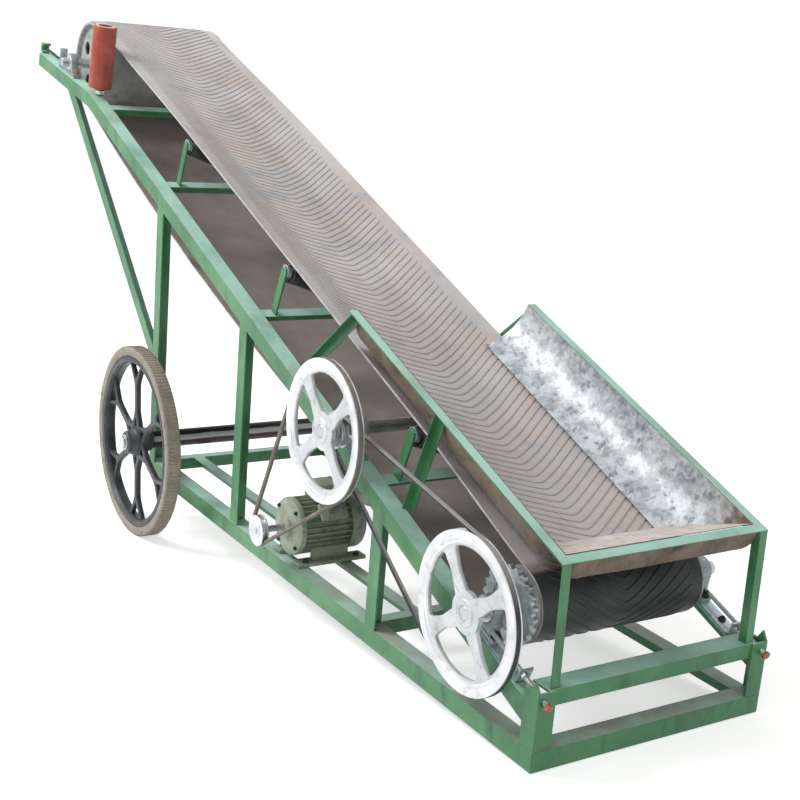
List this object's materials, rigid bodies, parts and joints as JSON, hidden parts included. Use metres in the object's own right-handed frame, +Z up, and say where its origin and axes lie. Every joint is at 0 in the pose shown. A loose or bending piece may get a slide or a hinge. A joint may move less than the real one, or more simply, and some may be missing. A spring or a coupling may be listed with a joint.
{
  "type": "mobile belt conveyor",
  "caption": "Inclined mobile belt conveyor: angle iron frame on two spoked wheels, troughed belt, feed hopper and a two-stage V-belt drive.",
  "frame": {"origin": "middle of the whole part's footprint box, at the floor under the wheels", "axes": "+X along the conveyor towards the hopper end, +Y towards the side without the drive, +Z up"},
  "size_m": [3.5276, 1.044, 1.7957],
  "materials": {
    "frame_paint": "green enamel, brushed on, satin",
    "belt_rubber": "ribbed conveyor belt, dusty, matte",
    "v_belt_rubber": "worn fabric and rubber, matte",
    "tyre_rubber": "worn solid rubber, dusty",
    "wheel_casting": "black painted casting, satin",
    "pulley_aluminium": "bare sand casting, rim turned",
    "motor_pulley_steel": "turned casting",
    "drum_steel": "dull dark steel",
    "ring_steel": "bare casting, dull",
    "shaft_steel": "turned steel",
    "bearing_casting": "grey casting, light",
    "roller_paint": "black paint, satin",
    "guide_roller_paint": "red oxide paint, worn",
    "hopper_sheet": "mottled zinc coated sheet with rust",
    "takeup_zinc": "zinc plated, dull, a little rust",
    "motor_paint": "dark olive paint, satin",
    "axle_paint": "dark paint, glossy"
  },
  "bodies": {
    "frame": {"axle": "axle_paint", "axle_bracket_far": "frame_paint", "axle_bracket_near": "frame_paint", "base_crossbar_front": "frame_paint", "base_crossbar_middle": "frame_paint", "base_crossbar_rear": "frame_paint", "base_rail_far": "frame_paint", "base_rail_near": "frame_paint", "belt": "belt_rubber", "boom_rail_far": "frame_paint", "boom_rail_near": "frame_paint", "corner_post_far": "frame_paint", "corner_post_near": "frame_paint", "front_post_far": "frame_paint", "front_post_near": "frame_paint", "guide_pin": "shaft_steel", "head_bearing_far": "bearing_casting", "head_bearing_near": "bearing_casting", "head_brace": "frame_paint", "hopper_frame": "frame_paint", "hopper_front_sheet": "hopper_sheet", "hopper_side_far": "hopper_sheet", "hopper_side_near": "hopper_sheet", "idler_frame_1": "frame_paint", "idler_frame_2": "frame_paint", "idler_frame_3": "frame_paint", "idler_rollers_1": "roller_paint", "idler_rollers_2": "roller_paint", "idler_rollers_3": "roller_paint", "jack_bearing_far": "bearing_casting", "jack_bearing_near": "bearing_casting", "middle_post_far": "frame_paint", "middle_post_near": "frame_paint", "motor": "motor_paint", "motor_beam": "frame_paint", "rear_post_far": "frame_paint", "rear_post_near": "frame_paint", "strut_far": "frame_paint", "strut_near": "frame_paint", "tail_bearing_far": "bearing_casting", "tail_bearing_near": "bearing_casting", "tail_takeup_far": "takeup_zinc", "tail_takeup_near": "takeup_zinc", "upper_crossbar": "frame_paint", "v_belt_drive": "v_belt_rubber", "v_belt_motor": "v_belt_rubber"},
    "tail_drum_body": {"tail_drum": "drum_steel", "toothed_ring": "ring_steel", "lower_pulley": "pulley_aluminium"},
    "jackshaft_body": {"jackshaft": "shaft_steel", "upper_pulley": "pulley_aluminium", "small_pulley": "pulley_aluminium"},
    "head_drum_body": {"head_drum": "drum_steel"},
    "motor_rotor": {"motor_pulley": "motor_pulley_steel"},
    "guide_roller_body": {"guide_roller": "guide_roller_paint"},
    "wheel_near_body": {"wheel_near": "wheel_casting", "tyre_near": "tyre_rubber"},
    "wheel_far_body": {"wheel_far": "wheel_casting", "tyre_far": "tyre_rubber"}
  },
  "joints": [
    {"name": "head_drum_spin", "type": "hinge", "parent": "frame", "child": "head_drum_body", "pos_m": [-1.40152, 0, 1.62707], "axis": [0, 1, 0], "continuous": true},
    {"name": "tail_drum_spin", "type": "hinge", "parent": "frame", "child": "tail_drum_body", "pos_m": [1.52128, 0, 0.31073], "axis": [0, 1, 0], "continuous": true},
    {"name": "jackshaft_spin", "type": "hinge", "parent": "frame", "child": "jackshaft_body", "pos_m": [0.90008, 0, 0.60879], "axis": [0, 1, 0], "continuous": true},
    {"name": "motor_spin", "type": "hinge", "parent": "frame", "child": "motor_rotor", "pos_m": [0.53615, 0, 0.24154], "axis": [0, 1, 0], "continuous": true},
    {"name": "guide_roller_spin", "type": "hinge", "parent": "frame", "child": "guide_roller_body", "pos_m": [-1.12765, -0.316, 1.52599], "axis": [0.2756, 0, 0.9613], "continuous": true},
    {"name": "wheel_near_spin", "type": "hinge", "parent": "frame", "child": "wheel_near_body", "pos_m": [-0.33483, 0, 0.325], "axis": [0, 1, 0], "continuous": true},
    {"name": "wheel_far_spin", "type": "hinge", "parent": "frame", "child": "wheel_far_body", "pos_m": [-0.33483, 0, 0.325], "axis": [0, 1, 0], "continuous": true}
  ],
  "couplings": [
    {"joint": "tail_drum_spin", "follows": "head_drum_spin", "ratio": 1.7634},
    {"joint": "jackshaft_spin", "follows": "head_drum_spin", "ratio": 6.7716},
    {"joint": "motor_spin", "follows": "head_drum_spin", "ratio": 28.892}
  ]
}
